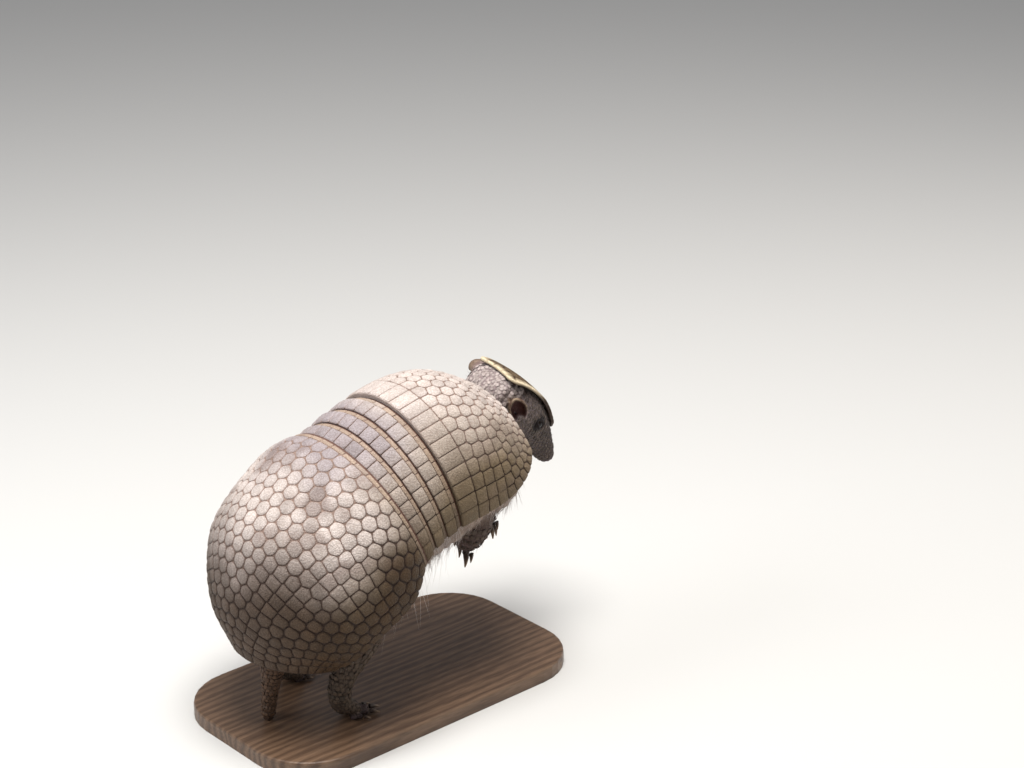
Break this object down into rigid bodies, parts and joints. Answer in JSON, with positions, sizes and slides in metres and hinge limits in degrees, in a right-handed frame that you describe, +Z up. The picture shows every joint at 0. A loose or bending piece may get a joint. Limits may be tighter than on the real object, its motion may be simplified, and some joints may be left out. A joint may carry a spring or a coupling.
{
  "type": "southern three-banded armadillo model",
  "caption": "Life-size still model of a southern three-banded armadillo standing on its hind feet and tail tip on a flat base, forepaws raised, head bowed over.",
  "frame": {"origin": "centre of the underside of the base", "axes": "+X forward, the way the animal faces; +Y to its left; +Z up"},
  "size_m": [0.2353, 0.1214, 0.1756],
  "materials": {
    "shell_scutes": "granular bony scutes, sandy beige with brown grooves, lilac grey on the back",
    "head_scutes": "small irregular horny plates with a pale rim",
    "skin": "wrinkled grey-brown skin with horny warts and coarse pale hairs",
    "eye": "wet dark brown eye",
    "claw": "dark horn with paler tips",
    "stand": "dark stained wood with a satin finish"
  },
  "bodies": {
    "root": {"scapular_shield": "shell_scutes", "band_front": "shell_scutes", "band_middle": "shell_scutes", "band_rear": "shell_scutes", "pelvic_shield": "shell_scutes", "head_shield": "head_scutes", "trunk": "skin", "neck": "skin", "head": "skin", "ear_left": "skin", "ear_right": "skin", "foreleg_left": "skin", "foreleg_right": "skin", "hindleg_left": "skin", "hindleg_right": "skin", "tail": "skin", "eye_left": "eye", "eye_right": "eye", "fore_claw_left_1": "claw", "fore_claw_left_2": "claw", "fore_claw_left_3": "claw", "fore_claw_left_4": "claw", "fore_claw_right_1": "claw", "fore_claw_right_2": "claw", "fore_claw_right_3": "claw", "fore_claw_right_4": "claw", "hind_claw_left_1": "claw", "hind_claw_left_2": "claw", "hind_claw_left_3": "claw", "hind_claw_left_4": "claw", "hind_claw_left_5": "claw", "hind_claw_right_1": "claw", "hind_claw_right_2": "claw", "hind_claw_right_3": "claw", "hind_claw_right_4": "claw", "hind_claw_right_5": "claw", "stand_base": "stand"}
  },
  "joints": []
}
